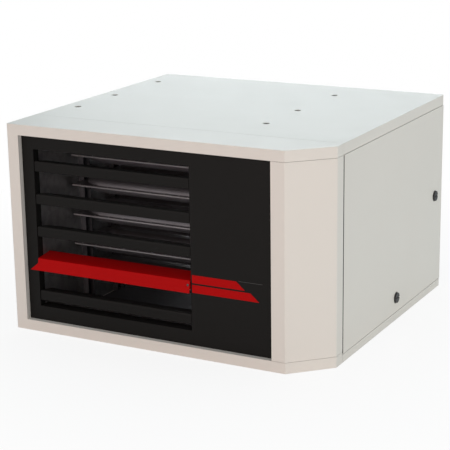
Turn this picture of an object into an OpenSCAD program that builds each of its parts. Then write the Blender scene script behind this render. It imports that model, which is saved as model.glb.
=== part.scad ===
// Gas unit heater: a low cabinet with a louvered air outlet at the front, a stack of serpentine
// heat exchanger elements, a burner and control compartment behind a side door, and a
// propeller fan in a wire guard at the rear.
// Lengths are in millimetres. X runs along the front, Y towards the rear and Z up, and the
// origin is the centre of the base. The modules work from the front left lower corner.

/* [Cabinet] */
// Overall width of the cabinet
cabinet_width = 509; // [495:1:600]
// Overall depth of the cabinet, without guard and collar
cabinet_depth = 475; // [465:1:600]
// Overall height of the cabinet
cabinet_height = 318; // [316:1:400]
// Height that the inner parts are sized for; a lower cabinet shrinks them
rated_height = 318; // [300:1:340]
// Thickness of the cabinet sheet
sheet = 1.2; // [0.8:0.1:1.5]
// Outer radius of the upright bends
bend_radius = 2.5; // [2:0.1:5]
// Length of the 45 degree chamfer along the front and along the side
corner_chamfer = 54; // [40:1:60]
// Height of the top panel's flanges
top_flange = 16; // [14:1:22]
// Height of the base pan's flanges
base_flange = 12; // [10:1:18]
// Seam between two fixed panels
panel_seam = 0.6; // [0.3:0.1:0.9]

/* [Front frame] */
// Depth of the front frame
frame_depth = 74.6; // [66:0.1:90]
// Height of the top and bottom rails
rail_height = 16; // [12:1:22]
// Width of the left stile
stile_width = 20; // [12:1:28]
// Width of the pillar beside the chamfer
pillar_width = 21; // [10:1:30]
// Depth of the return lips, which is the recess of the black panel
lip_depth = 8.5; // [7:0.5:12]

/* [Louver panel] */
// How far the black panel reaches behind the lips
panel_lap = 6; // [3:1:9]
// Depth of the black panel's rim
panel_rim = 12; // [8:1:20]
// Black margin between the left stile and the outlet
outlet_margin = 20; // [14:1:26]
// Black margin between the bottom rail and the outlet
outlet_rise = 22; // [16:1:28]
// Width of the outlet
outlet_width = 263; // [240:1:280]
// Depth of the outlet's side and head returns
outlet_return = 13; // [12:1:16]
// Depth of the outlet's sill
sill_depth = 20; // [14:1:24]

/* [Louvers] */
// Number of louvers
louver_count = 5; // [4:1:5]
// Distance between louver pivots
louver_pitch = 50; // [44:1:52]
// Thickness of a louver blade
blade_sheet = 1; // [0.8:0.1:1.4]
// Height of a blade's front face
blade_face = 16.5; // [12:0.5:20]
// Depth of a blade behind its face
blade_depth = 31; // [20:1:36]
// Slope of a black blade, falling towards the rear
blade_fall = 11; // [0:1:20]
// Diameter of a louver's pivot pins
louver_pin = 4; // [3:0.5:5]
// Gap at each end of a blade
blade_end_gap = 1; // [0.6:0.1:2]
// Height of the red blade's face
accent_face = 18.6; // [14:0.1:22]
// Slope of the red blade, rising towards the rear
accent_rise = 7; // [0:1:15]
// Height of one red stripe
stripe_height = 12; // [8:0.5:14]
// Black line between the two stripes
stripe_gap = 2.5; // [1:0.5:5]

/* [Heat exchanger] */
// Number of elements
element_count = 5; // [3:1:5]
// Distance between elements
element_pitch = 47; // [40:1:50]
// Height of an element's passages
passage_height = 24; // [18:1:26]
// Thickness of an element's sheet
element_sheet = 1; // [0.8:0.1:1.4]
// Width of the crimped edge round the passages
crimp_edge = 6; // [4:0.5:8]
// Clear distance from the front of the cabinet to the elements
element_front = 104; // [100:1:115]

/* [Burner and gas train] */
// Width of the control bay that these parts are sized for; a narrower bay shrinks them
bay_width = 177.8; // [160:0.1:200]
// Depth of the burner box
burner_box_depth = 70; // [60:1:76]
// Radius of a burner tube
burner_radius = 12; // [10:0.5:13]
// Radius of the gas manifold
manifold_radius = 8.5; // [7:0.5:10]
// Radius of the gas pipe, half inch size
gas_pipe_radius = 10.67; // [8:0.01:12]
// How far the gas pipe stands out at the rear
gas_pipe_reach = 30; // [20:1:45]
// Radius of the valve knob
knob_radius = 12; // [9:0.5:15]

/* [Flue] */
// Radius of the flue collar, four inch size
flue_radius = 50.3; // [44:0.1:50.5]
// How far the collar stands out at the rear
flue_reach = 40; // [30:1:60]
// Radius of the venter wheel
wheel_radius = 42; // [34:1:43]
// Radius of the venter motor
venter_motor_radius = 30; // [24:1:32]

/* [Fan] */
// Radius of the propeller
fan_radius = 116; // [95:1:118]
// Number of fan blades
fan_blades = 4; // [3:1:6]
// Pitch of the fan blades in degrees
fan_pitch = 22; // [18:1:32]
// Gap between blade tips and venturi
tip_gap = 5; // [3:0.5:8]
// Radius of the fan motor
motor_radius = 42; // [34:1:46]
// Length of the fan motor
motor_length = 60; // [50:1:80]
// Radius of the motor shaft
shaft_radius = 4; // [3:0.5:5]
// Diameter of the guard wire
guard_wire = 3.2; // [2.4:0.2:4]
// Number of guard spokes
guard_spokes = 8; // [4:4:8]
// Distance from the rear panel to the face of the guard
guard_depth = 36; // [28:1:50]

/* [Hanging points] */
// Distance of the left hangers from the left side
hanger_inset = 24.5; // [20:0.5:28]
// Distance between the left and right hangers
hanger_span = 327; // [322:1:360]
// Distance of the front hangers from the front
hanger_front = 155; // [120:1:180]
// Distance from the front hangers to the middle ones
hanger_middle = 108; // [80:1:130]
// Distance from the front hangers to the rear ones
hanger_length = 246; // [200:1:270]
// Radius of the hanger nuts' bore, three eighths inch size
hanger_bore = 4.76; // [4:0.01:6]

/* [Door] */
// Gap at the door's front edge
door_gap = 3; // [2.4:0.1:5]
// Gap at the door's upper and lower edges
door_seam = 0.8; // [0.5:0.1:1.2]
// Depth of the door's returns
door_return = 14; // [12:1:18]
// Radius of the door's hinge pins
hinge_pin = 3; // [2:0.5:3.5]
// Radius of a latch head
latch_radius = 8; // [6:0.5:10]
// Radius of a latch shank
latch_shank = 4; // [3:0.5:5]

/* [Fits] */
// Radial clearance of a turning pin in its bore
running_fit = 0.07; // [0.04:0.01:0.1]
// Clearance between fixed pieces
fixed_fit = 0.3; // [0.2:0.1:0.5]

/* [Hidden] */
$fn = 64;
over = 1;
bend_steps = 4;
cream = [0.86, 0.84, 0.80];
black = [0.12, 0.12, 0.11];
red = [0.68, 0.04, 0.05];
zinc = [0.72, 0.73, 0.74];
steel = [0.55, 0.56, 0.58];
aluminized = [0.62, 0.61, 0.58];
brass = [0.75, 0.6, 0.3];
dark = [0.2, 0.2, 0.21];
white = [0.93, 0.92, 0.88];

// Places shared by several pieces
inner_top = cabinet_height - sheet;
rear_out = cabinet_depth - sheet;
rear_in = rear_out - sheet;
body_front = frame_depth + panel_seam;
side_z0 = base_flange + panel_seam;
side_z1 = cabinet_height - top_flange - panel_seam;
window_x1 = cabinet_width - corner_chamfer - pillar_width;
window_z1 = cabinet_height - rail_height;
low_fit = min(1, (cabinet_height - top_flange * 2) / (rated_height - top_flange * 2));
outlet_x0 = stile_width + outlet_margin;
outlet_x1 = outlet_x0 + outlet_width;
outlet_z0 = rail_height + outlet_rise;
blade_pitch = louver_pitch * low_fit;
pivot_rise = blade_pitch * 0.384;
pivot_drop = blade_pitch * 0.476;
outlet_z1 = outlet_z0 + pivot_rise + (louver_count - 1) * blade_pitch + pivot_drop;
panel_back = lip_depth + sheet;

// Louver sizes
face_above = blade_face * 0.38;
face_below = blade_face - face_above;
face_setback = blade_face * 0.36;
pivot_y = lip_depth + face_setback + sheet / 2;
blade_hem = blade_sheet * 3;
blade_bend = blade_sheet * 2.5;
tab_radius = louver_pin * 1.4;
pin_out = sheet * 2;

// Outlet duct, baffle, partition and elements
duct_y0 = lip_depth + outlet_return + fixed_fit;
duct_y1 = duct_y0 + outlet_return * 1.36;
partition_x = outlet_x1 + outlet_return;
partition_x1 = partition_x + sheet;
bay = cabinet_width - door_return - partition_x1;
bay_fit = min(low_fit, bay / bay_width);
baffle_x1 = outlet_x0 - sheet * 2;
baffle_rear = element_front + outlet_width * 0.86;
nut_height = hanger_bore * 1.7;
liner_top = inner_top - nut_height - sheet;
centre_z = cabinet_height / 2;
burner_r = burner_radius * bay_fit;
pass_pitch = element_pitch * low_fit;
crimp_sheet = element_sheet * 2;
rack_reach = crimp_edge * 1.5;
element_x0 = baffle_x1 + rack_reach / 2;
pass_share = [1.67, 1.42, 1.17, 1];
pass_width = [for (s = pass_share) passage_height * s];
pass_gap = passage_height * 0.5;
function pass_y(i) = i == 0 ? element_front + crimp_edge + pass_width[0] / 2
    : pass_y(i - 1) + pass_width[i] + pass_gap / 2;
turn_radius = [for (i = [0:2]) (pass_y(i + 1) - pass_y(i)) / 2];
turn_left = element_x0 + crimp_edge + pass_width[1] / 2 + turn_radius[0];
turn_right = partition_x - crimp_edge - pass_width[2] / 2 - turn_radius[1];
element_back = pass_y(3) + pass_width[3] / 2 + crimp_edge;
spigot = crimp_edge;
function element_z(i) = centre_z + (i - (element_count - 1) / 2) * pass_pitch;

// Burner and gas train
box_depth = burner_box_depth * bay_fit;
manifold_r = manifold_radius * bay_fit;
knob_r = knob_radius * bay_fit;
gas_pipe_r = gas_pipe_radius * bay_fit;
burner_y = pass_y(0);
box_x1 = partition_x1 + box_depth;
box_half = burner_radius * 1.9;
box_z0 = element_z(0) - burner_radius * 2;
box_z1 = element_z(element_count - 1) + burner_radius * 2;
tube_x0 = partition_x1 + spigot + burner_r / 2;
flare_radius = burner_r * 1.42;
flare_length = burner_r * 2.2;
manifold_x = box_x1 + flare_length + manifold_r * 2.2;
boss_length = manifold_r * 1.6;
boss_radius = manifold_r * 0.8;
orifice_length = manifold_r * 1.1;
valve_z = box_z0 + manifold_r * 6;
valve_width = manifold_r * 5.6;
valve_length = manifold_r * 7;
valve_height = manifold_r * 5.2;
valve_boss = manifold_r * 1.75;
boss_step = manifold_r;
valve_y0 = burner_y + manifold_r * 5;
valve_y1 = valve_y0 + valve_length;
knob_depth = knob_r * 0.85;
knob_z = valve_z + knob_r * 0.4;
knob_y = valve_y0 + valve_length * 0.4;

// Flue
flue_r = flue_radius * bay_fit;
wheel_r = wheel_radius * bay_fit;
venter_motor_r = venter_motor_radius * bay_fit;
collector_depth = flue_r * 0.7;
venter_width = flue_r * 0.76;
venter_y = pass_y(3);
venter_x0 = partition_x1 + collector_depth;
venter_x1 = venter_x0 + venter_width;
scroll_small = wheel_r * 1.2;
scroll_large = wheel_r * 1.68;
duct_height = flue_r;
flue_x = (venter_x0 + venter_x1) / 2;
flue_z = cabinet_height - top_flange - panel_seam - flue_r * 1.36;
venter_z = flue_z + duct_height / 2 - scroll_large;
venter_end = venter_y + scroll_large * 1.28;
inlet_radius = wheel_r * 0.64;
collector_half = inlet_radius * 1.15;
venter_shaft_radius = shaft_radius * 0.75;
venter_motor_length = venter_motor_r * 1.6;

// Fan
fan_r = fan_radius * low_fit;
tip_room = tip_gap * low_fit;
cage_wire = guard_wire * low_fit;
fan_x = (baffle_x1 + partition_x) / 2;
venturi_radius = fan_r + tip_room;
venturi_lip = tip_room * 1.7;
throat_depth = fan_r * 0.24;
fan_y = rear_out - throat_depth * 0.5;
hub_radius = shaft_radius * 3.4;
hub_length = shaft_radius * 5;
motor_front = rear_out + throat_depth * 0.3;
band_sheet = sheet;
wire_r = cage_wire / 2;
guard_face = rear_out + guard_depth;
guard_inner = motor_radius + running_fit + band_sheet + wire_r;
guard_outer = venturi_radius + venturi_lip + cage_wire * 2.2;
guard_bend = cage_wire * 3;
guard_rings = floor((guard_outer - guard_bend - guard_inner) / (cage_wire * 4));
foot_size = cage_wire * 5;
foot_radius = guard_outer + foot_size * 0.65;

// Screws
screw_shank = sheet * 1.5;
screw_head = screw_shank * 2.3;
screw_height = screw_shank * 1.6;
screw_share = [0.12, 0.5, 0.88];

// Door
hinge_inset = door_gap * 1.7;
hinge_x = cabinet_width - hinge_inset;
hinge_y = frame_depth + door_gap + hinge_inset;
door_front = frame_depth + door_gap;
door_z0 = base_flange + door_seam;
door_z1 = cabinet_height - top_flange - door_seam;
bracket_size = hinge_pin * 6;
bracket_gap = door_seam;
rear_latch_y = cabinet_depth - door_return * 2.3;
rear_latch_z = centre_z;
lower_latch_y = door_front + (cabinet_depth - door_front) * 0.51;
lower_latch_z = base_flange + latch_radius * 3;
keeper_x = cabinet_width - door_return - latch_shank * 1.5;
keeper_hole = latch_shank * 1.5;
keeper_half = keeper_hole * 2;
cross_radius = latch_shank * 0.375;
cross_half = latch_shank * 1.2;

// A unit vector along v
function unit(v) = v / norm(v);
// The point of a corner [x, y, radius]
function at(c) = [c[0], c[1]];
// Points of an outline or a path whose corners [x, y, radius] are bent round
function bent(corners) = let (n = len(corners)) [for (i = [0:n - 1])
    let (p = at(corners[i]), r = corners[i][2],
        u = r > 0 ? unit(at(corners[(i + n - 1) % n]) - p) : [0, 0],
        v = r > 0 ? unit(at(corners[(i + 1) % n]) - p) : [0, 0],
        half = r > 0 ? acos(u * v) / 2 : 0, sweep = 180 - 2 * half,
        centre = r > 0 ? p + unit(u + v) * r / sin(half) : p,
        first = r > 0 ? p + u * r / tan(half) - centre : [0, 0],
        last = r > 0 ? p + v * r / tan(half) - centre : [0, 0])
    for (k = [0:r > 0 ? bend_steps : 0])
        r > 0 ? centre + (first * sin((1 - k / bend_steps) * sweep)
            + last * sin(k / bend_steps * sweep)) / sin(sweep) : p];
// The normal of a path at point i, long enough to keep the sheet's thickness in a bend
function mitre(p, i) = let (a = i > 0 ? unit(p[i] - p[i - 1]) : unit(p[1] - p[0]),
    b = i < len(p) - 1 ? unit(p[i + 1] - p[i]) : a, m = [-a[1], a[0]] + [-b[1], b[0]])
    m / (1 + a * b);
// Outline of a bent sheet of thickness t on the left side of a path
function strip(p, t) = concat(p, [for (i = [len(p) - 1:-1:0]) p[i] + mitre(p, i) * t]);

// Moves the children so that the centre of the cabinet's base is the origin
module place() { translate([-cabinet_width / 2, -cabinet_depth / 2, 0]) children(); }
// Box between its low and its high corner
module block(low, high) { translate(low) cube(high - low); }
// Turns a drawing so that its normal runs along X, with Y and Z in its plane
module facing_x() { rotate([90, 0, 90]) children(); }
// Turns an upright shape so that its axis runs along Y
module facing_y() { rotate([-90, 0, 0]) children(); }
// Round bars along each axis, from point p
module rod_x(p, length, r) { translate(p) facing_x() cylinder(h = length, r = r); }
module rod_y(p, length, r) { translate(p) facing_y() cylinder(h = length, r = r); }
module rod_z(p, length, r) { translate(p) cylinder(h = length, r = r); }
// Long slot or plate with round ends
module stadium(w, h) {
    if (w > h) square([w - h, h], center = true);
    for (side = [-1, 1]) translate([side * (w - h) / 2, 0]) circle(d = h);
}
// Flat frame: a rectangle less a smaller one, both given as [x0, y0, x1, y1]
module ring(outer, inner) {
    difference() {
        translate([outer[0], outer[1]]) square([outer[2] - outer[0], outer[3] - outer[1]]);
        translate([inner[0], inner[1]]) square([inner[2] - inner[0], inner[3] - inner[1]]);
    }
}

// Plan of the front frame, moved in by a wall
function frame_plan(wall, back) = let (k = wall * (sqrt(2) - 1), r = bend_radius - wall) [
    [wall, wall, r], [cabinet_width - corner_chamfer - k, wall, r],
    [cabinet_width - wall, corner_chamfer + k, r], [cabinet_width - wall, back, 0], [wall, back, 0]];
// Outline of the front frame's strips, with the cut corner on the right
module frame_shell() {
    difference() {
        polygon(bent(frame_plan(0, frame_depth)));
        polygon(bent(frame_plan(sheet, frame_depth + over)));
    }
}

// Plan of the cabinet behind the front frame, moved in by a wall
function body_plan(wall, front) = let (r = bend_radius - wall) [
    [wall, front, 0], [cabinet_width - wall, front, 0],
    [cabinet_width - wall, cabinet_depth - wall, r], [wall, cabinet_depth - wall, r]];
// Outline shared by the top and base trays behind the frame
module flange_shell() {
    difference() {
        polygon(bent(body_plan(0, body_front)));
        polygon(bent(body_plan(sheet, body_front - over)));
    }
}
// Clearance holes of the screws that join the rear panel to a tray
module rear_screw_holes() {
    for (s = screw_share, z = [base_flange / 2, cabinet_height - top_flange / 2])
        rod_y([cabinet_width * s, rear_in - over, z], sheet * 2 + over * 2, screw_shank + fixed_fit);
}

slot_count = 7;
slot_width = sheet * 3;
slot_length = box_depth * 0.8;
// Bottom tray with turned-up flanges and air slots under the burners
module base_pan() {
    color(cream) place() difference() {
        union() {
            linear_extrude(sheet) polygon(bent(body_plan(0, body_front)));
            linear_extrude(base_flange) flange_shell();
        }
        rear_screw_holes();
        for (i = [0:slot_count - 1])
            translate([partition_x + slot_length * 0.5, frame_depth + slot_length * 0.4
                + i * slot_width * 3, -over])
                linear_extrude(sheet + over * 2) translate([slot_length / 2, 0])
                    stadium(slot_length, slot_width);
    }
}

function hanger_places() = [for (x = [0, hanger_span], y = [0, hanger_middle, hanger_length])
    [hanger_inset + x, hanger_front + y]];
// Top tray with turned-down flanges and the six hanger holes
module top_panel() {
    color(cream) place() difference() {
        union() {
            translate([0, 0, inner_top]) linear_extrude(sheet) polygon(bent(body_plan(0, body_front)));
            translate([0, 0, cabinet_height - top_flange]) linear_extrude(top_flange) flange_shell();
        }
        for (p = hanger_places()) translate([p[0], p[1], inner_top - over])
            cylinder(h = sheet + over * 2, r = hanger_bore * 1.16);
        rear_screw_holes();
    }
}

// Threaded nuts welded under the hanger holes
module hanger_nuts() {
    color(zinc) place() for (p = hanger_places())
        translate([p[0], p[1], inner_top - nut_height]) difference() {
            cylinder(h = nut_height, r = hanger_bore * 1.9, $fn = 6);
            translate([0, 0, -over]) cylinder(h = nut_height + over * 2, r = hanger_bore);
        }
}

// Plain left skin with returns to the front and rear
module left_side_panel() {
    color(cream) place() {
        block([0, body_front, side_z0], [sheet, cabinet_depth, side_z1]);
        for (z = [side_z0, side_z1 - sheet])
            block([0, body_front, z], [door_return, rear_in - door_return, z + sheet]);
        block([0, body_front, side_z0], [door_return, body_front + sheet, side_z1]);
    }
}

rear_right = cabinet_width - door_return - sheet;
power_x = rear_right - door_return * 3;
power_z = valve_z + manifold_r * 4.6;
power_radius = 11.1;
pipe_hole = gas_pipe_r * 1.15;
terminal_width = door_return * 3;
terminal_z = valve_z - manifold_r * 6;
// Rear skin with the fan's throat and the holes of flue, pipe and cables
module rear_panel() {
    top = inner_top - panel_seam;
    color(cream) place() difference() {
        union() {
            block([sheet * 2, rear_in, sheet], [rear_right, rear_out, top]);
            for (x = [sheet, rear_right - sheet])
                block([x, rear_in - door_return, side_z0], [x + sheet, rear_out, side_z1]);
        }
        rod_y([fan_x, rear_in - over, centre_z], sheet + over * 2,
            venturi_radius + venturi_lip + fixed_fit);
        rod_y([flue_x, rear_in - over, flue_z], sheet + over * 2, flue_r + fixed_fit);
        rod_y([manifold_x, rear_in - over, valve_z], sheet + over * 2, pipe_hole);
        rod_y([power_x, rear_in - over, power_z], sheet + over * 2, power_radius);
        rod_y([power_x, rear_in - over, power_z + power_radius * 3], sheet + over * 2, power_radius);
        rear_screw_holes();
        for (p = foot_places()) rod_y([p[0], rear_in - over, p[1]], sheet + over * 2,
            screw_shank + fixed_fit);
    }
}

// Pressed frame round the black panel: rails, left stile and side strips
module front_frame() {
    lip_x0 = stile_width - sheet;
    color(cream) place() {
        for (z = [0, window_z1]) translate([0, 0, z]) linear_extrude(rail_height) frame_shell();
        for (z = [0, inner_top]) translate([0, 0, z])
            linear_extrude(sheet) polygon(bent(frame_plan(0, frame_depth)));
        linear_extrude(cabinet_height) intersection() {
            frame_shell();
            square([stile_width, frame_depth]);
        }
        block([lip_x0, 0, 0], [stile_width, lip_depth, cabinet_height]);
        for (z = [rail_height - sheet, window_z1])
            block([lip_x0, 0, z], [window_x1, lip_depth, z + sheet]);
    }
}

post_seam = panel_seam * 0.75;
corner_relief = sheet * 2.5;
// Pillar, 45 degree chamfer and side return between the two rails
module corner_post() {
    z0 = rail_height + post_seam;
    z1 = window_z1 - post_seam;
    color(cream) place() {
        translate([0, 0, z0]) linear_extrude(z1 - z0) intersection() {
            frame_shell();
            translate([window_x1, 0]) square([cabinet_width - window_x1, frame_depth]);
        }
        block([window_x1, 0, z0 + corner_relief], [window_x1 + sheet, lip_depth, z1]);
    }
}

function pivot_z(i) = outlet_z0 + pivot_rise + i * blade_pitch;
// Recessed black panel with the outlet window and the louvers' pivot holes
module louver_panel() {
    outer = [stile_width - panel_lap, rail_height - panel_lap,
        window_x1 + panel_lap, window_z1 + panel_lap];
    rim = [outer[0] + sheet, outer[1] + sheet, outer[2] - sheet, outer[3] - sheet];
    hole = [outlet_x0, outlet_z0, outlet_x1, outlet_z1];
    edge = [outlet_x0 - sheet, outlet_z0 - sheet, outlet_x1 + sheet, outlet_z1 + sheet];
    color(black) place() difference() {
        union() {
            translate([0, panel_back, 0]) rotate([90, 0, 0]) linear_extrude(sheet) ring(outer, hole);
            translate([0, lip_depth + panel_rim, 0]) rotate([90, 0, 0])
                linear_extrude(panel_rim) ring(outer, rim);
            translate([0, lip_depth + outlet_return, 0]) rotate([90, 0, 0])
                linear_extrude(outlet_return) ring(edge, hole);
            block(
                [outlet_x0, lip_depth, outlet_z0 - sheet],
                [outlet_x1, lip_depth + sill_depth, outlet_z0]
            );
        }
        for (i = [0:louver_count - 1], x = [outlet_x0 - sheet, outlet_x1])
            rod_x([x - over, pivot_y, pivot_z(i)], sheet + over * 2, louver_pin / 2 + running_fit);
    }
}

accent_index = 1;
accent_sheet = 0.3;
stripe_x0 = outlet_x1 + sheet * 1.4;
// Two red stripes that carry the red louver's line across the panel
module accent_stripes() {
    low = pivot_z(accent_index) - accent_face * 0.62;
    run = stripe_height * 1.15;
    room = window_x1 - outlet_x1 - run;
    long = room * 0.7935;
    upper = room * 0.604;
    step = stripe_height + stripe_gap;
    color(red) place() translate([0, lip_depth, 0]) rotate([90, 0, 0]) linear_extrude(accent_sheet) {
        polygon([[stripe_x0, low], [stripe_x0 + long + run, low],
            [stripe_x0 + long, low + stripe_height], [stripe_x0, low + stripe_height]]);
        translate([0, step]) polygon([[stripe_x0, low], [stripe_x0 + upper + run, low],
            [stripe_x0 + upper, low + stripe_height], [stripe_x0, low + stripe_height]]);
    }
}

blade_x0 = outlet_x0 + blade_end_gap;
blade_length = outlet_width - blade_end_gap * 2;
// End tabs with the pivot pins of a louver, on its pivot axis
module louver_ends() {
    for (x = [0, blade_length - sheet]) translate([x, 0, 0]) facing_x() linear_extrude(sheet) {
        circle(r = tab_radius);
        polygon([[-face_setback + blade_sheet, -face_below * 0.8], [0, -tab_radius],
            [0, tab_radius * 0.9], [-face_setback + blade_sheet, face_above * 0.7]]);
    }
    pin = blade_end_gap + sheet + pin_out;
    for (x = [-pin, blade_length - sheet]) rod_x([x, 0, 0], pin + sheet, louver_pin / 2);
}
// Black blade i, counted from the lowest: face, fall to the rear, hem and pivots
module louver(i) {
    rear = [-face_setback + blade_depth * cos(blade_fall), face_above - blade_depth * sin(blade_fall)];
    color(black) place() translate([blade_x0, pivot_y, pivot_z(i)]) {
        facing_x() linear_extrude(blade_length) polygon(strip(bent([
            [-face_setback + blade_hem, -face_below, 0], [-face_setback, -face_below, blade_sheet * 1.5],
            [-face_setback, face_above, blade_bend], [rear[0], rear[1], 0]]), -blade_sheet));
        louver_ends();
    }
}
// The black blades, from the highest to the lowest
module louver_1() { louver(4); }
module louver_2() { louver(3); }
module louver_3() { louver(2); }
module louver_5() { louver(0); }

accent_lean = 8;
accent_lap = outlet_margin * 0.66;
accent_setback = face_setback + sheet + blade_sheet + fixed_fit;
// Red blade, whose slanted left end laps the black stile
module accent_louver() {
    above = accent_face * 0.36;
    below = accent_face - above;
    rear = [-accent_setback + blade_depth * cos(accent_rise), above + blade_depth * sin(accent_rise)];
    foot = [-accent_setback - accent_face * sin(accent_lean), -below];
    color(red) place() translate([blade_x0, pivot_y, pivot_z(accent_index)]) {
        facing_x() linear_extrude(blade_length) polygon(strip(bent([
            [foot[0], foot[1], 0], [-accent_setback, above, blade_sheet * 1.5],
            [rear[0], rear[1], 0]]), -blade_sheet));
        intersection() {
            translate([-accent_lap, 0, 0]) facing_x() linear_extrude(accent_lap + over)
                polygon(strip([foot, [-accent_setback, above]], -blade_sheet));
            rotate([90, 0, 0]) translate([0, 0, -accent_setback]) linear_extrude(accent_face * 2)
                polygon([[over, -below - over], [-accent_lap, -below - over],
                    [-accent_lap, -below], [0, -below * 0.05], [over, -below * 0.05]]);
        }
        louver_ends();
        for (x = [0, blade_length - sheet]) translate([x, 0, 0]) facing_x() linear_extrude(sheet)
            polygon([[-accent_setback + blade_sheet / 2, -below * 0.5], [0, -tab_radius / 2],
                [0, tab_radius / 2], [-accent_setback + blade_sheet / 2, above * 0.5]]);
    }
}

// Sheet collar that carries warm air from the elements to the louvers
module outlet_duct() {
    gap = sheet + fixed_fit;
    inner = [outlet_x0 - gap, outlet_z0 - gap, outlet_x1 + gap, outlet_z1 + gap];
    outer = [inner[0] - sheet, inner[1] - sheet, inner[2] + sheet, inner[3] + sheet];
    plate = [sheet, sheet, partition_x, inner_top];
    color(zinc) place() translate([0, duct_y1, 0]) rotate([90, 0, 0]) {
        linear_extrude(duct_y1 - duct_y0) ring(outer, inner);
        linear_extrude(sheet) ring(plate, inner);
    }
}

// Sheet wall that keeps warm air off the left skin
module side_baffle() {
    notch = door_return + fixed_fit;
    color(zinc) place() difference() {
        translate([0, 0, sheet]) linear_extrude(liner_top - sheet)
            polygon(strip([[sheet, duct_y1], [baffle_x1, duct_y1], [baffle_x1, baffle_rear],
                [sheet, baffle_rear]], sheet));
        for (z = [side_z0, side_z1 - sheet]) block([0, frame_depth, z - fixed_fit],
            [notch, baffle_rear + over, z + sheet + fixed_fit]);
    }
}

// Wall between the air path and the control compartment
module partition() {
    back = rear_in - panel_seam;
    color(zinc) place() difference() {
        union() {
            block([partition_x, duct_y1 - sheet, sheet], [partition_x1, back, inner_top]);
            for (z = [sheet, inner_top - sheet])
                block([partition_x, duct_y1 - sheet, z], [partition_x + panel_rim, back, z + sheet]);
        }
        for (i = [0:element_count - 1], k = [0, 3])
            translate([partition_x - over, pass_y(k), element_z(i)]) facing_x()
                linear_extrude(sheet + over * 2)
                    stadium(pass_width[k] + fixed_fit * 2, passage_height + fixed_fit * 2);
        rod_x([partition_x - over, pass_y(1), centre_z], sheet + over * 2, burner_r * 0.7);
    }
}

// Gas path of one element with its walls moved in
module serpentine(wall) {
    ends = wall > 0 ? over : 0;
    out = partition_x1 + spigot + ends;
    x1 = [out, turn_right, turn_right, out];
    for (k = [0:3]) translate([turn_left, pass_y(k), 0]) facing_x()
        linear_extrude(x1[k] - turn_left) stadium(pass_width[k] - wall * 2, passage_height - wall * 2);
    for (k = [0:2]) translate([k == 1 ? turn_right : turn_left, pass_y(k) + turn_radius[k], 0])
        rotate([0, 0, k == 1 ? -90 : 90]) rotate_extrude(angle = 180)
            translate([turn_radius[k], 0])
                stadium(pass_width[k + 1] - wall * 2, passage_height - wall * 2);
}
// Exchanger element i: a flat serpentine tube between two crimped halves
module heat_element(i) {
    color(aluminized) place() translate([0, 0, element_z(i)]) difference() {
        union() {
            serpentine(0);
            block([element_x0, element_front, -crimp_sheet / 2],
                [partition_x, element_back, crimp_sheet / 2]);
        }
        serpentine(element_sheet);
    }
}
// The five elements, from the lowest to the highest
module heat_element_1() { heat_element(0); }
module heat_element_2() { heat_element(1); }
module heat_element_3() { heat_element(2); }
module heat_element_4() { heat_element(3); }
module heat_element_5() { heat_element(4); }

rack_width = crimp_edge * 3;
// Slotted channels that hold the closed ends of the elements
module element_rack() {
    color(zinc) place() difference() {
        for (y = [pass_y(0), pass_y(3) - rack_width]) translate([0, 0, sheet])
            linear_extrude(liner_top - sheet) polygon(strip([[baffle_x1 + rack_reach, y],
                [baffle_x1, y], [baffle_x1, y + rack_width],
                [baffle_x1 + rack_reach, y + rack_width]], -sheet));
        for (i = [0:element_count - 1]) block(
            [element_x0 - fixed_fit, element_front, element_z(i) - crimp_sheet / 2 - fixed_fit],
            [turn_left, element_back, element_z(i) + crimp_sheet / 2 + fixed_fit]);
    }
}

// Open-backed box on the partition in which the flames burn
module burner_box() {
    low = [burner_y - box_half, box_z0];
    high = [burner_y + box_half, box_z1];
    rim = crimp_edge;
    color(aluminized) place() difference() {
        union() {
            block([partition_x1, low[0], low[1]], [box_x1, high[0], high[1]]);
            block([partition_x1, low[0] - rim, low[1] - rim],
                [partition_x1 + sheet, high[0] + rim, high[1] + rim]);
        }
        block([partition_x1 - over, low[0] + sheet, low[1] + sheet],
            [box_x1 - sheet, high[0] - sheet, high[1] - sheet]);
        for (i = [0:element_count - 1]) rod_x([box_x1 - sheet - over, burner_y, element_z(i)],
            sheet + over * 2, burner_r + fixed_fit);
        for (i = [0, element_count - 1]) rod_y([sense_x, high[0] - sheet - over, element_z(i)],
            sheet + over * 2, ceramic_radius + fixed_fit);
    }
}

// In-shot burner tubes, flared where they take in air
module burner_tubes() {
    straight = box_x1 - tube_x0;
    wall = element_sheet;
    color(aluminized) place() for (i = [0:element_count - 1])
        translate([tube_x0, burner_y, element_z(i)]) facing_x() rotate_extrude()
            polygon(strip(bent([[burner_r, 0, 0], [burner_r, straight, burner_r],
                [burner_r * 0.72, straight + flare_length * 0.45, burner_r / 2],
                [flare_radius, straight + flare_length, 0]]), wall));
}

manifold_low = element_z(0) - burner_radius * 2.6;
manifold_high = element_z(element_count - 1) + burner_radius * 2.6;
// Upright gas pipe with an elbow to the valve and a tapped boss per burner
module gas_manifold() {
    wall = manifold_r * 0.3;
    cap = manifold_r * 1.2;
    color(dark) place() translate([manifold_x, burner_y, 0]) difference() {
        union() {
            rod_z([0, 0, manifold_low], manifold_high - manifold_low, manifold_r);
            for (z = [manifold_low - cap, manifold_high]) rod_z([0, 0, z], cap, manifold_r * 1.25);
            for (i = [0:element_count - 1])
                rod_x([-boss_length, 0, element_z(i)], boss_length, boss_radius);
            rod_y([0, 0, valve_z], valve_y0 - boss_step - burner_y, manifold_r);
        }
        rod_z([0, 0, manifold_low], manifold_high - manifold_low, manifold_r - wall);
        for (i = [0:element_count - 1])
            rod_x([-boss_length - over, 0, element_z(i)], boss_length + over, boss_radius / 2);
        rod_y([0, 0, valve_z], valve_y0 - boss_step - burner_y + over, manifold_r - wall);
    }
}

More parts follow.
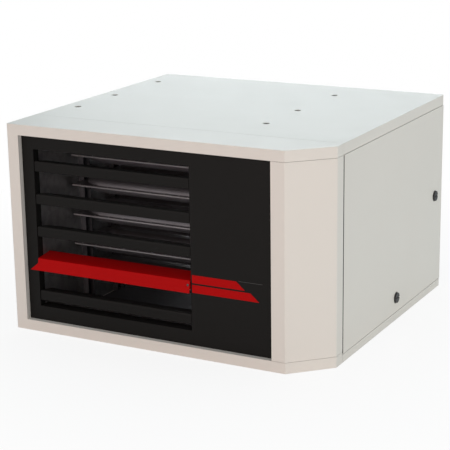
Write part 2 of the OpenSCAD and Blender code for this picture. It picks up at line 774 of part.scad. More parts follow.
// Drilled brass plugs that meter the gas into the burners
module gas_orifices() {
    tip = boss_radius * 0.5;
    color(brass) place() for (i = [0:element_count - 1])
        translate([manifold_x - boss_length, burner_y, element_z(i)]) rotate([0, -90, 0]) difference() {
            union() {
                cylinder(h = orifice_length / 2, r = boss_radius * 0.95, $fn = 6);
                translate([0, 0, orifice_length / 2])
                    cylinder(h = orifice_length / 2, r1 = boss_radius * 0.75, r2 = tip);
            }
            translate([0, 0, -over]) cylinder(h = orifice_length + over * 2, r = tip * 0.4);
        }
}

// Straps that hold the manifold off the burner box
module manifold_brackets() {
    half = manifold_r * 1.8;
    color(zinc) place() for (z = [box_z0 - sheet, box_z1]) difference() {
        block([box_x1 - half * 2, burner_y - half, z],
            [manifold_x + manifold_r * 1.4, burner_y + half, z + sheet]);
        rod_z([manifold_x, burner_y, z - over], sheet + over * 2, manifold_r + fixed_fit);
    }
}

knob_shaft = knob_r * 0.25;
// Two-stage gas valve with hexagonal ends, two coil cans and a regulator
module gas_valve() {
    half = valve_width / 2;
    tall = valve_height / 2;
    r = manifold_r * 0.6;
    can = manifold_r * 1.4;
    can_height = manifold_r * 2.4;
    color(zinc) place() translate([manifold_x, 0, valve_z]) difference() {
        union() {
            translate([0, valve_y0, 0]) facing_y() linear_extrude(valve_length) polygon(bent([
                [-half, -tall, r], [half, -tall, r], [half, tall, r], [-half, tall, r]]));
            for (y = [valve_y0 - boss_step, valve_y1]) translate([0, y, 0]) facing_y()
                cylinder(h = boss_step, r = valve_boss, $fn = 6);
            for (y = [0.27, 0.7]) rod_z([-half * 0.3, valve_y0 + valve_length * y, 0],
                tall + can_height, can);
            rod_z([half * 0.62, valve_y0 + valve_length * 0.75, 0], tall + can_height * 0.5, r * 1.3);
        }
        rod_x([half - knob_depth, knob_y, knob_z - valve_z], knob_depth + over,
            knob_shaft + running_fit);
        for (y = [valve_y0 - boss_step - over, valve_y1]) rod_y([0, y, 0], boss_step + over,
            manifold_r * 0.7);
    }
}

// On and off knob with a grip bar and a round shaft in the valve
module valve_knob() {
    grip = knob_r * 0.34;
    face = manifold_x + valve_width / 2 + fixed_fit;
    color(dark) place() translate([face, knob_y, knob_z]) {
        rod_x([0, 0, 0], knob_depth * 0.45, knob_r);
        rod_x([-fixed_fit - knob_depth * 0.8, 0, 0], knob_depth, knob_shaft);
        difference() {
            rod_x([0, 0, 0], knob_depth, knob_r * 0.92);
            for (side = [-1, 1]) block([knob_depth * 0.45, side > 0 ? grip : -knob_r, -knob_r],
                [knob_depth + over, side > 0 ? knob_r : -grip, knob_r]);
        }
    }
}

// Supply pipe from the valve to its stub behind the rear panel
module gas_pipe() {
    start = valve_y1 + boss_step;
    length = cabinet_depth + gas_pipe_reach - start;
    color(dark) place() difference() {
        union() {
            rod_y([manifold_x, start, valve_z], length, gas_pipe_r * 0.94);
            rod_y([manifold_x, cabinet_depth, valve_z], gas_pipe_reach, gas_pipe_r);
            translate([manifold_x, start, valve_z]) facing_y()
                cylinder(h = gas_pipe_r * 1.6, r = gas_pipe_r * 1.5, $fn = 8);
        }
        rod_y([manifold_x, start - over, valve_z], length + over * 2, gas_pipe_r * 0.74);
    }
}

ceramic_radius = burner_r * 0.34;
sense_x = partition_x1 + spigot + burner_r / 4;
// A ceramic body through the burner box's rear wall, with a rod that bends into the flame
module electrode(z) {
    wall_y = burner_y + box_half;
    length = burner_r * 2;
    rod_r = ceramic_radius * 0.3;
    tab = ceramic_radius * 1.7;
    inside = sheet * 2;
    reach = spigot * bay_fit;
    color(white) translate([sense_x, wall_y, z]) rod_y([0, -inside, 0], length + inside, ceramic_radius);
    color(zinc) {
        difference() {
            block([sense_x - tab, wall_y, z - tab], [sense_x + tab, wall_y + sheet, z + tab]);
            rod_y([sense_x, wall_y - over, z], sheet + over * 2, ceramic_radius);
        }
        rod_y([sense_x, burner_y, z], wall_y - inside - burner_y, rod_r);
        rod_y([sense_x, wall_y + length, z], ceramic_radius * 1.5, rod_r * 1.6);
        rod_x([sense_x - reach, burner_y, z], reach + rod_r, rod_r);
    }
}
// Spark igniter at the lowest burner and flame sensor at the highest
module igniter() { place() electrode(element_z(0)); }
module flame_sensor() { place() electrode(element_z(element_count - 1)); }

// Over-heat switch on the partition beside the middle element
module limit_switch() {
    r = burner_r;
    blade = r * 0.5;
    color(dark) place() translate([partition_x1, pass_y(1), centre_z]) {
        rod_x([0, 0, 0], r * 0.8, r * 0.65);
        facing_x() rotate([0, 0, 90]) linear_extrude(sheet) difference() {
            stadium(r * 3.2, r * 1.3);
            for (side = [-1, 1]) translate([side * r * 1.25, 0]) circle(r = r * 0.17);
        }
        for (side = [-1, 1]) block([r * 0.8, side * blade - sheet / 2, -blade / 2],
            [r * 1.4, side * blade + sheet / 2, blade / 2]);
    }
}

collector_z0 = element_z(0) - burner_radius * 1.6;
collector_z1 = element_z(element_count - 1) + burner_radius * 1.6;
// Box that gathers the flue gas of all elements for the venter
module flue_collector() {
    low = [venter_y - collector_half, collector_z0];
    high = [venter_y + collector_half, collector_z1];
    rim = crimp_edge;
    color(aluminized) place() difference() {
        union() {
            block([partition_x1, low[0], low[1]], [venter_x0, high[0], high[1]]);
            block([partition_x1, low[0] - rim, low[1] - rim],
                [partition_x1 + sheet, high[0] + rim, high[1] + rim]);
        }
        block([partition_x1 - over, low[0] + sheet, low[1] + sheet],
            [venter_x0 - sheet, high[0] - sheet, high[1] - sheet]);
        rod_x([venter_x0 - sheet - over, venter_y, venter_z], sheet + over * 2, inlet_radius);
    }
}

scroll_steps = 18;
// Outline of the venter housing round its shaft, moved in by a wall, open at its outlet
module scroll(wall) {
    small = scroll_small - wall;
    large = scroll_large - wall;
    floor_z = scroll_large - duct_height + wall;
    end = venter_end - venter_y + (wall > 0 ? over : 0);
    polygon(concat(
        [for (k = [0:scroll_steps]) let (a = 270 * k / scroll_steps,
            r = small + (large - small) * k / scroll_steps) [r * cos(a), -r * sin(a)]],
        [[end, large], [end, floor_z], [sqrt(small * small - floor_z * floor_z), floor_z]]));
}
// Scroll case of the venter, open towards the flue
module venter_housing() {
    color(aluminized) place() translate([venter_x0, venter_y, venter_z]) difference() {
        union() {
            facing_x() linear_extrude(venter_width) scroll(0);
            for (a = [30:120:270]) rotate([a, 0, 0]) rod_x([venter_width - sheet,
                venter_motor_r * 1.25, 0], sheet, screw_head);
        }
        translate([sheet, 0, 0]) facing_x() linear_extrude(venter_width - sheet * 2) scroll(sheet);
        rod_x([-over, 0, 0], sheet + over * 2, inlet_radius);
        rod_x([venter_width - sheet - over, 0, 0], sheet + over * 2, venter_shaft_radius * 2);
    }
}

wheel_blades = 12;
wheel_x0 = venter_x0 + venter_width * 0.16;
wheel_depth = venter_width * 0.62;
// Bladed wheel that pulls the flue gas
module venter_wheel() {
    root = wheel_r * 0.62;
    color(zinc) place() translate([wheel_x0, venter_y, venter_z]) difference() {
        union() {
            rod_x([wheel_depth - sheet, 0, 0], sheet, wheel_r);
            rod_x([wheel_depth * 0.4, 0, 0], wheel_depth * 0.6, venter_shaft_radius * 2.6);
            for (k = [0:wheel_blades - 1]) rotate([360 * k / wheel_blades, 0, 0])
                translate([0, root, 0]) rotate([25, 0, 0])
                    block([0, 0, 0], [wheel_depth, (wheel_r - root) * 1.02, sheet]);
        }
        rod_x([-over, 0, 0], wheel_depth + over * 2, venter_shaft_radius);
    }
}

shaft_socket = venter_motor_length * 0.3;
venter_motor_x = venter_x1 + sheet;
// Shaft of the venter wheel
module venter_shaft() {
    start = wheel_x0 + wheel_depth * 0.45;
    color(steel) place() rod_x([start, venter_y, venter_z],
        venter_motor_x + shaft_socket - start, venter_shaft_radius);
}

// Venter motor on its mounting flange, with two cooling slots
module venter_motor() {
    r = venter_motor_r;
    bevel = r * 0.15;
    color(dark) place() translate([venter_motor_x, venter_y, venter_z]) difference() {
        union() {
            rod_x([-sheet, 0, 0], sheet, r * 1.4);
            facing_x() rotate_extrude() polygon([[0, 0], [r, 0], [r, venter_motor_length - bevel],
                [r - bevel, venter_motor_length], [0, venter_motor_length]]);
            rod_x([venter_motor_length - bevel, 0, 0], bevel * 2, r * 0.3);
        }
        rod_x([-sheet - over, 0, 0], shaft_socket + sheet + over + fixed_fit,
            venter_shaft_radius + running_fit);
        for (side = [-1, 1]) block([venter_motor_length * 0.25, side * r - bevel, -r / 2],
            [venter_motor_length * 0.75, side * r + bevel, r / 2]);
    }
}

// Round collar for the flue pipe, flanged on the rear panel
module flue_collar() {
    inner = flue_r - sheet * 0.7;
    start = venter_end;
    end = cabinet_depth + flue_reach;
    color(aluminized) place() difference() {
        union() {
            rod_y([flue_x, start, flue_z], end - start, flue_r);
            rod_y([flue_x, rear_out, flue_z], sheet, flue_r + spigot);
        }
        rod_y([flue_x, start + sheet, flue_z], end - start, inner);
        block([venter_x0 + sheet, start - over, flue_z - duct_height / 2 + sheet],
            [venter_x1 - sheet, start + sheet + over, flue_z + duct_height / 2 - sheet]);
    }
}

switch_radius = burner_r * 2;
// Round diaphragm switch that proves the draught
module pressure_switch() {
    r = switch_radius;
    depth = r * 0.7;
    port = r * 0.12;
    color(dark) place() translate([partition_x1, venter_end - r, collector_z0 + r]) {
        facing_x() rotate_extrude() polygon(bent([[0, 0, 0], [r, 0, 0], [r, depth * 0.3, 0],
            [r * 0.9, depth * 0.45, 0], [r * 0.9, depth, port], [0, depth, 0]]));
        rod_z([depth * 0.7, 0, 0], r * 1.35, port);
        rod_x([depth, 0, 0], r * 0.35, port * 1.6);
    }
}

// Ignition board on stand-offs, with relays, capacitors and a header
module control_board() {
    length = cabinet_depth * 0.24;
    width = box_depth * 1.05;
    y0 = rear_in - length * 1.35;
    x0 = partition_x1 + panel_rim + sheet;
    stand = sheet * 5;
    z = sheet + stand;
    top = z + sheet * 1.3;
    color([0.1, 0.35, 0.2]) place() {
        block([x0, y0, z], [x0 + width, y0 + length, top]);
        for (x = [0.1, 0.9], y = [0.08, 0.92])
            rod_z([x0 + width * x, y0 + length * y, sheet], stand, stand * 0.5);
        for (k = [0:2]) block([x0 + width * (0.1 + 0.28 * k), y0 + length * 0.12, top],
            [x0 + width * (0.3 + 0.28 * k), y0 + length * 0.32, top + width * 0.2]);
        for (k = [0:1]) rod_z([x0 + width * (0.25 + 0.3 * k), y0 + length * 0.5, top],
            width * 0.22, width * 0.08);
        block([x0 + width * 0.1, y0 + length * 0.78, top], [x0 + width * 0.9, y0 + length * 0.88,
            top + width * 0.14]);
        block([x0 + width * 0.7, y0 + length * 0.42, top], [x0 + width * 0.88, y0 + length * 0.62,
            top + sheet * 2]);
    }
}

// Low voltage transformer: laminated core, coil and feet
module transformer() {
    size = box_depth * 0.62;
    x1 = rear_right - door_return * 1.6 * bay_fit;
    y1 = rear_in - door_return * 2.4;
    core = size * 0.5;
    color(steel) place() translate([x1 - size, y1 - size, sheet]) {
        block([0, size * 0.3, 0], [size, size * 0.7, size * 0.85]);
        block([-size * 0.16, size * 0.3, 0], [size * 1.16, size * 0.7, sheet]);
        translate([size / 2, size / 2, size * 0.22]) linear_extrude(size * 0.42)
            polygon(bent([[-core * 0.6, -core, core * 0.2], [core * 0.6, -core, core * 0.2],
                [core * 0.6, core, core * 0.2], [-core * 0.6, core, core * 0.2]]));
    }
}

terminal_count = 5;
// Screw terminals for the supply, outside the rear panel
module terminal_strip() {
    depth = door_return * 0.7;
    high = door_return * 1.4;
    x1 = rear_right - door_return;
    step = terminal_width / terminal_count;
    color(dark) place() translate([x1 - terminal_width, rear_out, terminal_z]) difference() {
        block([0, 0, 0], [terminal_width, depth, high]);
        for (k = [0:terminal_count - 1], z = [0.27, 0.73])
            rod_y([step * (k + 0.5), depth * 0.45, high * z], depth, step * 0.34);
    }
}

// Ring with a rolled lip that guides air into the fan
module fan_venturi() {
    r = venturi_radius;
    lip = venturi_lip;
    path = concat([[r, -throat_depth]],
        [for (a = [0:15:90]) [r + lip * (1 - cos(a)), -lip + lip * sin(a)]],
        [[r + lip * 1.6, 0]]);
    color(cream) place() translate([fan_x, rear_out, centre_z]) facing_y()
        rotate_extrude($fn = 128) polygon(strip(path, sheet));
}

blade_sheet_fan = sheet * 1.2;
blade_camber = fan_r * 1.5;
// One curved and pitched fan blade
module fan_blade() {
    root = hub_radius * 1.6;
    thin = blade_sheet_fan;
    chord = fan_r * 0.37;
    intersection() {
        rotate([fan_pitch, 0, 0]) translate([0, 0, -blade_camber]) difference() {
            rotate([0, 90, 0]) cylinder(h = fan_r, r = blade_camber + thin / 2, $fn = 128);
            translate([-over, 0, 0]) rotate([0, 90, 0])
                cylinder(h = fan_r + over * 2, r = blade_camber - thin / 2, $fn = 128);
        }
        translate([0, 0, -fan_r * 0.5]) linear_extrude(fan_r) intersection() {
            circle(r = fan_r, $fn = 128);
            polygon(bent([[root, -chord * 0.34, 0], [fan_r * 0.72, -chord, chord * 0.5],
                [fan_r * 1.1, -chord * 0.86, 0], [fan_r * 1.1, chord * 0.8, 0],
                [fan_r * 0.62, chord * 0.86, chord * 0.6], [root, chord * 0.34, 0]]));
        }
    }
}
// Fan blades on their disc
module propeller() {
    disc = hub_radius * 2.4;
    color(zinc) place() translate([fan_x, fan_y, centre_z]) facing_y() difference() {
        union() {
            translate([0, 0, -blade_sheet_fan / 2]) cylinder(h = blade_sheet_fan, r = disc);
            for (k = [0:fan_blades - 1]) rotate([0, 0, 360 * (k + 0.5) / fan_blades]) fan_blade();
        }
        translate([0, 0, -fan_r]) cylinder(h = fan_r * 2, r = hub_radius);
    }
}

// Hub that clamps the propeller to the shaft
module fan_hub() {
    color(aluminized) place() translate([fan_x, fan_y, centre_z]) facing_y() difference() {
        union() {
            translate([0, 0, -hub_length / 2]) cylinder(h = hub_length, r = hub_radius);
            translate([0, 0, blade_sheet_fan / 2]) cylinder(h = sheet, r = hub_radius * 1.5);
        }
        translate([0, 0, -hub_length]) cylinder(h = hub_length * 2, r = shaft_radius);
        translate([0, 0, hub_length * 0.32]) rotate([90, 0, 0])
            cylinder(h = hub_radius + over, r = shaft_radius * 0.6);
    }
}

motor_socket = motor_length * 0.3;
// Shaft from the fan motor to the hub
module motor_shaft() {
    start = fan_y - hub_length * 0.6;
    color(steel) place() rod_y([fan_x, start, centre_z], motor_front + motor_socket - start,
        shaft_radius);
}

vent_count = 8;
// Round fan motor with shouldered ends and rear vents
module fan_motor() {
    r = motor_radius;
    bevel = r * 0.2;
    boss = shaft_radius * 2.5;
    step = motor_length * 0.06;
    color(dark) place() translate([fan_x, motor_front, centre_z]) facing_y() difference() {
        rotate_extrude($fn = 96) polygon([[0, -step], [boss, -step], [boss, 0], [r - bevel, 0],
            [r, bevel], [r, motor_length - bevel], [r - bevel, motor_length], [boss, motor_length],
            [boss * 0.8, motor_length + step], [0, motor_length + step]]);
        translate([0, 0, -step - over]) cylinder(h = motor_socket + step + over + fixed_fit,
            r = shaft_radius + running_fit);
        for (k = [0:vent_count - 1]) rotate([0, 0, 360 * (k + 0.5) / vent_count])
            translate([r * 0.62, 0, motor_length - step]) linear_extrude(step * 2)
                stadium(r * 0.36, r * 0.12);
    }
}

// Split band that clamps the motor into the guard
module motor_band() {
    width = cage_wire * 4;
    ear = band_sheet * 2;
    r = motor_radius + running_fit;
    color(zinc) place() translate([fan_x, guard_face - width / 2, centre_z]) facing_y() difference() {
        union() {
            cylinder(h = width, r = r + band_sheet);
            for (x = [-ear, ear - band_sheet]) block([x, -r - ear * 2, width / 2 + wire_r + fixed_fit],
                [x + band_sheet, -r, width]);
        }
        translate([0, 0, -over]) cylinder(h = width + over * 2, r = r);
    }
}

function foot_places() = [for (a = [45:90:315])
    [fan_x + foot_radius * cos(a), centre_z + foot_radius * sin(a)]];
guard_weld = cage_wire * 0.8;
// One ring of the guard, at radius r and height z above the rear panel
module guard_ring(r, z) {
    translate([0, 0, z]) rotate_extrude($fn = 96) translate([r, 0]) circle(r = wire_r, $fn = 24);
}
spoke_rise = guard_depth - guard_weld;
spoke_end = guard_outer - guard_bend;
// Repeats the children at every spoke of the guard
module each_spoke() {
    place() translate([fan_x, rear_out, centre_z]) facing_y() for (k = [0:guard_spokes - 1])
        rotate([0, 0, 360 * (k + 0.5) / guard_spokes]) children();
}
// Rings of the guard and the straight part of its spokes
module guard_grille() {
    step = (spoke_end - guard_inner) / guard_rings;
    color(dark) {
        place() translate([fan_x, rear_out, centre_z]) facing_y() for (k = [0:guard_rings - 1])
            guard_ring(guard_inner + k * step, guard_depth);
        each_spoke() rod_x([guard_inner, 0, spoke_rise], spoke_end - guard_inner, wire_r);
    }
}
// Elbows and legs of the spokes, the outer rings and the four feet
module guard_basket() {
    low = wire_r + fixed_fit;
    color(dark) {
        place() translate([fan_x, rear_out, centre_z]) facing_y() {
            for (z = [low, (spoke_rise - guard_bend) * 0.65])
                guard_ring(guard_outer + guard_weld, z);
            for (a = [45:90:315]) rotate([0, 0, a]) difference() {
                block([guard_outer, -foot_size / 2, 0],
                    [foot_radius + foot_size / 2, foot_size / 2, sheet]);
                rod_z([foot_radius, 0, -over], sheet + over * 2, screw_shank + fixed_fit);
            }
        }
        each_spoke() {
            translate([spoke_end, 0, spoke_rise - guard_bend]) rotate([90, 0, 0])
                rotate_extrude(angle = 90) translate([guard_bend, 0]) circle(r = wire_r, $fn = 24);
            rod_z([guard_outer, 0, fixed_fit], spoke_rise - guard_bend - fixed_fit, wire_r);
        }
    }
}

// A hexagon head screw whose head rests at height 0 and whose shank points down
module hex_screw(grip) {
    cylinder(h = screw_height, r = screw_head, $fn = 6);
    cylinder(h = screw_height * 0.3, r = screw_head * 1.2);
    translate([0, 0, -grip]) cylinder(h = grip, r = screw_shank);
}
// Screws of the guard's feet
module guard_screws() {
    color(zinc) place() for (p = foot_places()) translate([p[0], rear_out + sheet, p[1]])
        facing_y() hex_screw(sheet * 5);
}
// Screws along the rear panel's edges
module panel_screws() {
    color(zinc) place() for (s = screw_share, z = [base_flange / 2, cabinet_height - top_flange / 2])
        translate([cabinet_width * s, cabinet_depth, z]) facing_y() hex_screw(sheet * 5);
}

// Folded brackets that hold the hinge pins in the trays
module hinge_brackets() {
    y0 = body_front + sheet;
    y1 = hinge_y + bracket_size / 2;
    x0 = hinge_x - bracket_size * 0.8;
    x1 = cabinet_width - sheet - panel_seam;
    color(zinc) place() difference() {
        for (part = [[sheet, base_flange - bracket_gap - sheet, sheet],
                [door_z1 + bracket_gap + sheet, inner_top, door_z1 + bracket_gap]]) {
            block([x0, y0, part[2] == sheet ? part[1] : part[2]],
                [x1, y1, (part[2] == sheet ? part[1] : part[2]) + sheet]);
            block([x0, y0, part[0]], [x0 + sheet, y1, part[1]]);
        }
        rod_z([hinge_x, hinge_y, sheet], cabinet_height - sheet * 2, hinge_pin);
    }
}

// Headed pins on which the door swings
module hinge_pins() {
    low = base_flange - bracket_gap;
    head = sheet;
    pin = door_seam + bracket_gap + sheet * 4;
    color(steel) place() translate([hinge_x, hinge_y, 0]) {
        rod_z([0, 0, low - sheet], pin + sheet, hinge_pin);
        rod_z([0, 0, low - sheet - head], head, hinge_pin * 1.2);
        rod_z([0, 0, door_z1 + bracket_gap + sheet - pin - sheet], pin + sheet, hinge_pin);
        rod_z([0, 0, door_z1 + bracket_gap + sheet], head, hinge_pin * 1.2);
    }
}

// Folded plates behind which the latches turn
module latch_keepers() {
    half = keeper_half;
    foot = keeper_half * 1.3;
    color(zinc) place() {
        difference() {
            union() {
                block([keeper_x - sheet, rear_latch_y - half, rear_latch_z - half],
                    [keeper_x, rear_in, rear_latch_z + half]);
                block([keeper_x - foot, rear_in - sheet, rear_latch_z - half],
                    [keeper_x, rear_in, rear_latch_z + half]);
            }
            rod_x([keeper_x - sheet - over, rear_latch_y, rear_latch_z], sheet + over * 2, keeper_hole);
        }
        difference() {
            union() {
                block([keeper_x - sheet, lower_latch_y - half, sheet],
                    [keeper_x, lower_latch_y + half, lower_latch_z + half]);
                block([keeper_x - foot, lower_latch_y - half, sheet],
                    [keeper_x, lower_latch_y + half, sheet * 2]);
            }
            rod_x([keeper_x - sheet - over, lower_latch_y, lower_latch_z], sheet + over * 2, keeper_hole);
        }
    }
}

// Hinged right skin with returns on four sides
module access_door() {
    x0 = cabinet_width - door_return;
    boss = hinge_pin * 1.8;
    color(cream) place() difference() {
        union() {
            block([cabinet_width - sheet, door_front, door_z0], [cabinet_width, cabinet_depth, door_z1]);
            for (z = [door_z0, door_z1 - sheet])
                block([x0, door_front, z], [cabinet_width, cabinet_depth, z + sheet]);
            for (y = [door_front, cabinet_depth - sheet])
                block([x0, y, door_z0], [cabinet_width, y + sheet, door_z1]);
            for (z = [door_z0, door_z1 - sheet * 2]) rod_z([hinge_x, hinge_y, z], sheet * 2, boss);
        }
        rod_z([hinge_x, hinge_y, door_z0 - over], door_z1 - door_z0 + over * 2, hinge_pin + running_fit);
        for (p = [[rear_latch_y, rear_latch_z], [lower_latch_y, lower_latch_z]])
            rod_x([cabinet_width - sheet - over, p[0], p[1]], sheet + over * 2,
                latch_shank + running_fit);
    }
}

// A slotted quarter-turn fastener on its own axis, its head outside the door
module latch() {
    head = latch_radius * 0.3;
    slot = latch_radius * 0.2;
    stem = door_return + latch_shank * 3.4;
    collar = latch_shank * 1.5;
    color(dark) {
        difference() {
            rod_x([fixed_fit, 0, 0], head, latch_radius);
            block([fixed_fit + head * 0.4, -latch_radius - over, -slot / 2],
                [head * 2, latch_radius + over, slot / 2]);
        }
        rod_x([-stem, 0, 0], stem + fixed_fit, latch_shank);
        rod_x([-sheet * 2 - fixed_fit, 0, 0], sheet, collar);
        rod_z([-stem + cross_radius * 2, 0, -cross_half], cross_half * 2, cross_radius);
    }
}
// The two quarter-turn latches of the door
module rear_latch() { place() translate([cabinet_width, rear_latch_y, rear_latch_z]) latch(); }
module lower_latch() { place() translate([cabinet_width, lower_latch_y, lower_latch_z]) latch(); }

base_pan();
top_panel();
left_side_panel();
rear_panel();
front_frame();
corner_post();
louver_panel();
accent_stripes();
louver_1();
louver_2();
louver_3();
accent_louver();
louver_5();
outlet_duct();
side_baffle();
partition();
element_rack();
heat_element_1();
heat_element_2();
heat_element_3();
heat_element_4();
heat_element_5();
burner_box();
burner_tubes();
gas_manifold();
manifold_brackets();
gas_orifices();
gas_valve();
valve_knob();
gas_pipe();
igniter();
flame_sensor();
limit_switch();
flue_collector();
venter_housing();
venter_wheel();
venter_shaft();
venter_motor();
flue_collar();
pressure_switch();
control_board();
transformer();
terminal_strip();
fan_venturi();
propeller();
fan_hub();
motor_shaft();
fan_motor();
motor_band();
guard_grille();
guard_basket();
guard_screws();
panel_screws();
hanger_nuts();
hinge_brackets();
hinge_pins();
latch_keepers();
access_door();
rear_latch();
lower_latch();
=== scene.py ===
"""A low gas unit heater on a pale floor: a cream cabinet with a louvered black front.

Everything is in metres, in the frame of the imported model: the origin is the centre of the
cabinet's base, X runs along the front, Y towards the rear and Z up.
"""

import math

import bmesh
import bpy
from mathutils import Matrix, Vector


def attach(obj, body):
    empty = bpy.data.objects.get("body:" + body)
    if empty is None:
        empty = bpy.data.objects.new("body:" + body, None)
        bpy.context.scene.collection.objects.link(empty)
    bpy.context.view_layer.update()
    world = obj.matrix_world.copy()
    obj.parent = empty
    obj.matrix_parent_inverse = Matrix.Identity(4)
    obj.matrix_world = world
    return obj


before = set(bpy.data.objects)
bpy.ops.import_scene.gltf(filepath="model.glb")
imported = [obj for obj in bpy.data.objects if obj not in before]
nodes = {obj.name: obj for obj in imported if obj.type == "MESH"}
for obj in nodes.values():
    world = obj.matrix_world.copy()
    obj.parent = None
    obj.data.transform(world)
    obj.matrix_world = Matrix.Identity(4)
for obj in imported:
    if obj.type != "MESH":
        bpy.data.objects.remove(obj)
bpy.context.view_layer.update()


# ---------------------------------------------------------------------------
# The room: a pale floor that keeps the cabinet's shadow, a white surround that
# only the camera and the reflections see, and four large soft lamps.
class Wire:
    """A socket in a material, so that shader maths can be written as a sum."""

    def __init__(self, tree, socket=None):
        self.tree, self.socket = tree, socket

    def node(self, kind, settings, plugs, out=0):
        """A new node: its settings first, then the values or wires of its sockets."""
        made = self.tree.nodes.new("ShaderNode" + kind)
        for name, value in settings.items():
            setattr(made, name, value)
        for name, value in plugs.items():
            if isinstance(value, Wire):
                self.tree.links.new(value.socket, made.inputs[name])
            else:
                made.inputs[name].default_value = value
        return Wire(self.tree, made.outputs[out])

    def maths(self, operation, *values):
        """One sum on these values; the wire itself only says which material it is in."""
        return self.node("Math", {"operation": operation}, dict(enumerate(values)))

    def __add__(self, other):
        return self.maths("ADD", self, other)

    def __radd__(self, other):
        return self.maths("ADD", other, self)

    def __mul__(self, other):
        return self.maths("MULTIPLY", self, other)

    def __rmul__(self, other):
        return self.maths("MULTIPLY", other, self)

    def __pow__(self, other):
        return self.maths("POWER", self, other)

    def feed(self, shader, name):
        """Plugs this wire into a socket of a shader."""
        self.tree.links.new(self.socket, shader.inputs[name])


def new_finish(name, roughness, metallic=0.0):
    """A material with its shader's constants set, the shader, and its object coordinates."""
    made = bpy.data.materials.new(name)
    made.use_nodes = True
    shader = made.node_tree.nodes["Principled BSDF"]
    shader.inputs["Roughness"].default_value = roughness
    shader.inputs["Metallic"].default_value = metallic
    place = Wire(made.node_tree).node("TexCoord", {}, {}, "Object")
    return made, shader, place


def noise(place, scale, detail=2.0):
    """Cloudy grey, with about this many patches to the metre."""
    return place.node("TexNoise", {}, {"Vector": place, "Scale": scale, "Detail": detail})


def blend(mask, first, second):
    """One colour where the mask is 0, another where it is 1."""
    ends = [end if isinstance(end, Wire) else (*end, 1) for end in (first, second)]
    return mask.node("Mix", {"data_type": "RGBA"}, {0: mask, 6: ends[0], 7: ends[1]}, 2)


floor_reach, floor_drop = 25, 0.0005
floor_mesh = bmesh.new()
bmesh.ops.create_grid(floor_mesh, x_segments=1, y_segments=1, size=floor_reach)
floor = bpy.data.objects.new("floor", bpy.data.meshes.new("floor"))
bpy.context.scene.collection.objects.link(floor)
floor_mesh.to_mesh(floor.data)
floor_mesh.free()
floor.data.transform(Matrix.Translation((0, 0, -floor_drop)))
floor_paper, floor_shader, floor_place = new_finish("floor_paper", 0.85)
floor_tone = blend(noise(floor_place, 3), (0.91, 0.91, 0.91), (0.93, 0.93, 0.93))
floor_tone.feed(floor_shader, "Base Color")
glow = floor_place.node("Emission", {}, {"Color": (1, 1, 1, 1), "Strength": 1.0})
near_glow, glow_growth = 0.80, 0.22
distance = floor_place.node("VectorMath", {"operation": "LENGTH"}, {0: floor_place}, "Value")
brightened = distance.maths("MINIMUM", 1.0, near_glow + distance * glow_growth)
looked_at = floor_place.node("LightPath", {}, {}, "Is Camera Ray") * brightened
bare = Wire(floor_place.tree, floor_shader.outputs["BSDF"])
paper = looked_at.node("MixShader", {}, {0: looked_at, 1: bare, 2: glow})
paper.feed(floor_paper.node_tree.nodes["Material Output"], "Surface")
floor.data.materials.append(floor_paper)

world = bpy.data.worlds.new("surround")
bpy.context.scene.world = world
world.use_nodes = True
air = Wire(world.node_tree)
camera_ray, glossy_ray, glass_ray = (
    air.node("LightPath", {}, {}, f"Is {name} Ray") for name in ("Camera", "Glossy", "Transmission"))
white = air.maths("MAXIMUM", camera_ray, air.maths("MAXIMUM", glossy_ray, glass_ray))
surround = blend(white, (0.80, 0.82, 0.85), (1.0, 1.0, 1.0))
backdrop = world.node_tree.nodes["Background"]
surround.feed(backdrop, "Color")
room_light = 0.42
(room_light + white * (1 - room_light)).feed(backdrop, "Strength")


def lamp(name, place, aim, size, power, colour):
    """A large soft lamp pointed at a spot."""
    light = bpy.data.lights.new(name, "AREA")
    light.shape, light.size, light.energy, light.color = "DISK", size, power, colour
    made = bpy.data.objects.new(name, light)
    bpy.context.scene.collection.objects.link(made)
    made.location = place
    made.rotation_euler = (Vector(aim) - Vector(place)).to_track_quat("-Z", "Y").to_euler()


middle = (0, 0, 0.16)
lamp("sky_panel", (0.0, 0.2, 2.6), (0, 0, 0.2), size=2.4, power=12, colour=(0.46, 0.90, 1.0))
lamp("front_panel", (0.3, -3.0, 0.8), middle, size=1.8, power=38, colour=(1.0, 0.79, 0.70))
lamp("side_panel", (2.8, 0.2, 0.7), middle, size=1.8, power=25, colour=(1.0, 0.98, 0.92))
lamp("back_panel", (-1.2, 2.6, 0.8), middle, size=1.8, power=20, colour=(0.95, 0.98, 1.0))

# The camera stands right of the front and above it. Its axes are in the part's
# frame, and its focal length is in pixels of a picture 450 pixels wide.
camera_place = (1.01834, -1.93714, 0.7376)
camera_right = (0.88362, 0.46798, -0.01477)
camera_up = (-0.11214, 0.24215, 0.96374)
camera_back = (0.45459, -0.84992, 0.26644)
focal_length, picture_width, sensor_width = 1447.38, 450, 36
camera = bpy.data.objects.new("camera", bpy.data.cameras.new("camera"))
bpy.context.scene.collection.objects.link(camera)
turn = Matrix((camera_right, camera_up, camera_back)).transposed()
camera.matrix_world = Matrix.Translation(camera_place) @ turn.to_4x4()
camera.data.lens = focal_length / picture_width * sensor_width
camera.data.sensor_width = sensor_width
camera.data.clip_end = 80
bpy.context.scene.camera = camera
bpy.context.scene.view_settings.view_transform = "Standard"


# ---------------------------------------------------------------------------
# The cabinet: bent sheet steel with a cream powder coat, whose skin has a fine
# orange peel, a slow drift in tone and a little handling sheen.
def wear(names, finish):
    """Puts a finish on the CAD pieces with these names."""
    for name in names.split():
        for entry in nodes[name].material_slots:
            entry.material = finish


def relief(height, distance):
    """Bumps of this depth in metres, from a grey pattern."""
    return height.node("Bump", {}, {"Height": height, "Distance": distance, "Strength": 1.0})


